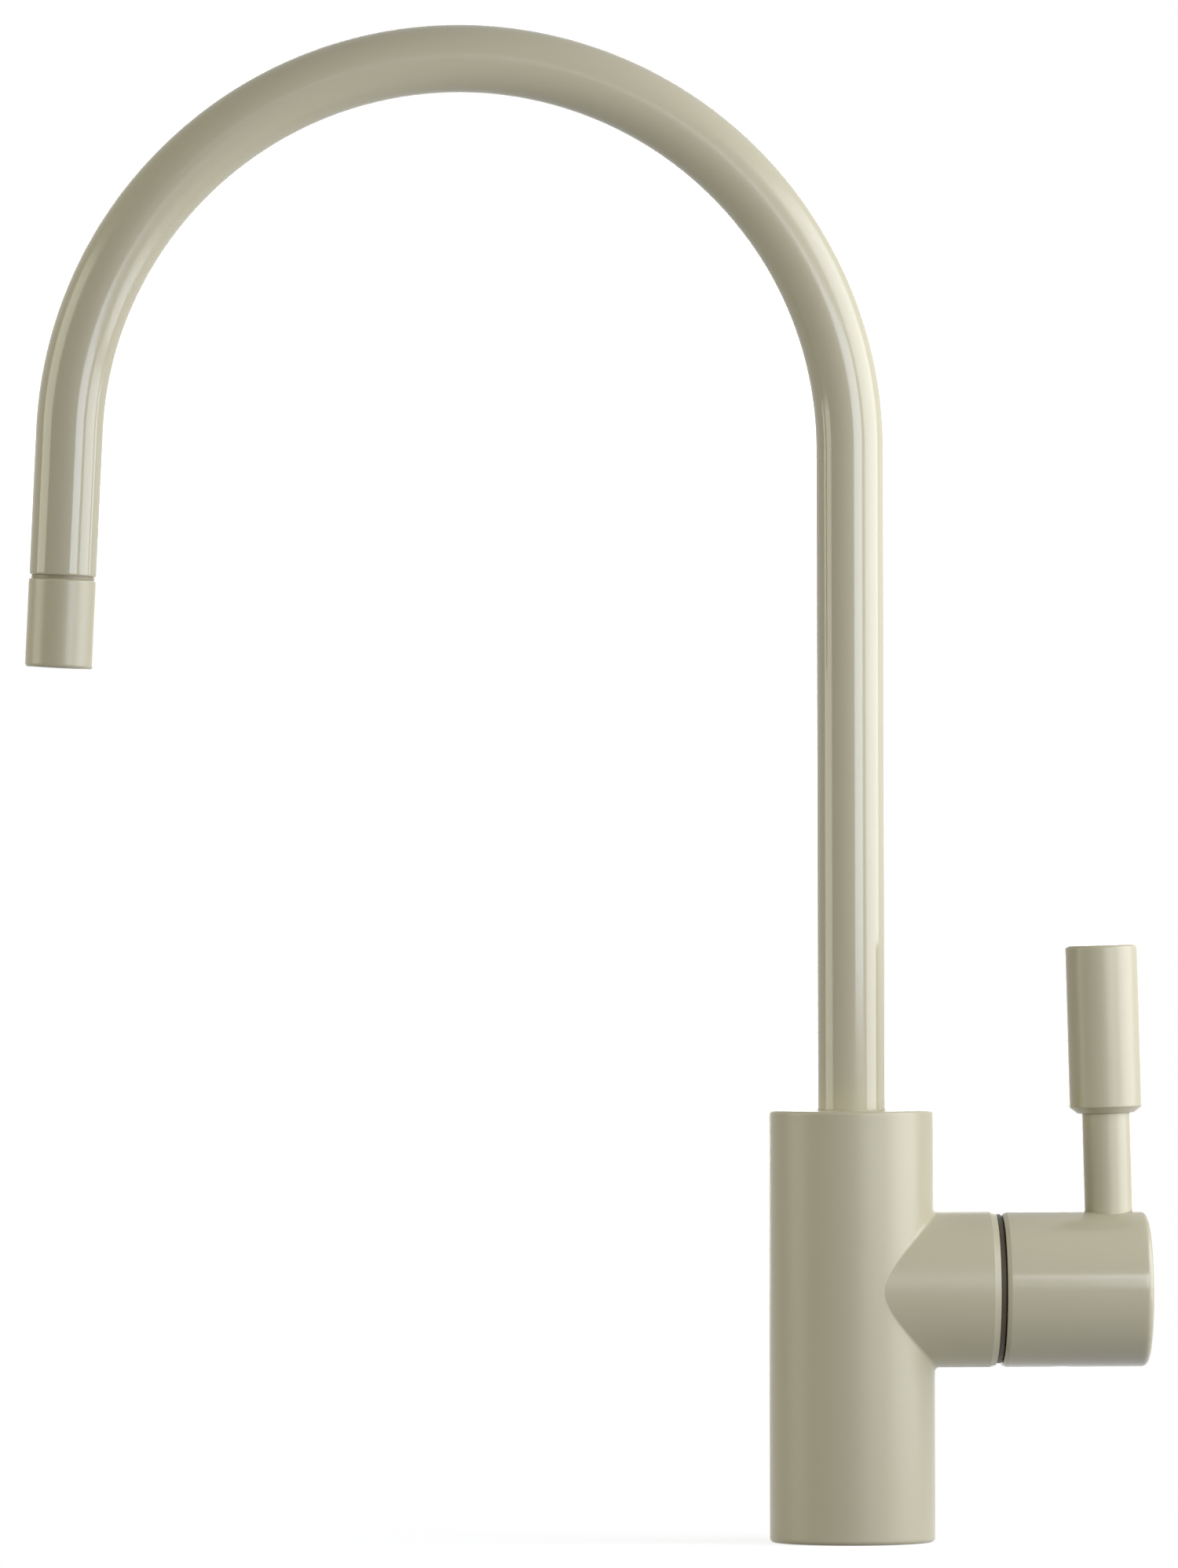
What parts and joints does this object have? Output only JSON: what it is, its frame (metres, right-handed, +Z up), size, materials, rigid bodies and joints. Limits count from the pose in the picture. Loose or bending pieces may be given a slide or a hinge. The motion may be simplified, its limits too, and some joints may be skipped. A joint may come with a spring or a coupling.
{
  "type": "drinking water filter tap",
  "caption": "Slim deck-mounted drinking water tap with a round body, a side quarter-turn ceramic valve, an upright stick lever and a tall swivel gooseneck spout.",
  "frame": {"origin": "middle of the base at the mouth of the fixing socket, on the worktop", "axes": "+Z up; +X along the valve towards the handle hub; the spout reaches towards -X and the user stands at -Y"},
  "size_m": [0.2088, 0.0308, 0.2824],
  "materials": {
    "almond_enamel": "semi-gloss baked almond enamel on brass",
    "turned_brass": "turned, unplated",
    "black_rubber": "moulded, matt",
    "ivory_acetal": "moulded, satin",
    "black_acetal": "moulded, satin",
    "alumina_ceramic": "lapped",
    "white_fluoropolymer": "skived sheet",
    "stainless_steel": "plain"
  },
  "bodies": {
    "tap_body": {"body": "almond_enamel", "base_gasket": "black_rubber", "inlet_washer": "black_rubber", "spout_bush": "ivory_acetal", "spout_set_screw": "stainless_steel", "valve_housing": "turned_brass", "valve_housing_seal": "black_rubber", "valve_lip_seal": "black_rubber", "fixed_disc": "alumina_ceramic", "glide_ring": "black_acetal"},
    "spout": {"spout_tube": "almond_enamel", "spout_foot": "turned_brass", "spout_seals": "black_rubber", "outlet_adaptor": "almond_enamel", "outlet_nozzle": "almond_enamel", "outlet_washer": "black_rubber", "flow_straightener": "ivory_acetal"},
    "lever": {"valve_spindle": "turned_brass", "moving_disc": "alumina_ceramic", "spindle_seals": "black_rubber", "slip_washer": "white_fluoropolymer", "spindle_clip": "stainless_steel", "handle_hub": "almond_enamel", "hub_screw": "stainless_steel", "lever_stem": "almond_enamel", "lever_grip": "almond_enamel"}
  },
  "joints": [
    {"name": "spout_swivel", "type": "hinge", "parent": "tap_body", "child": "spout", "pos_m": [0, 0, 0], "axis": [0, 0, 1], "continuous": true},
    {"name": "lever_turn", "type": "hinge", "parent": "tap_body", "child": "lever", "pos_m": [0, 0, 0.047], "axis": [1, 0, 0], "range_deg": [0, 90]}
  ]
}
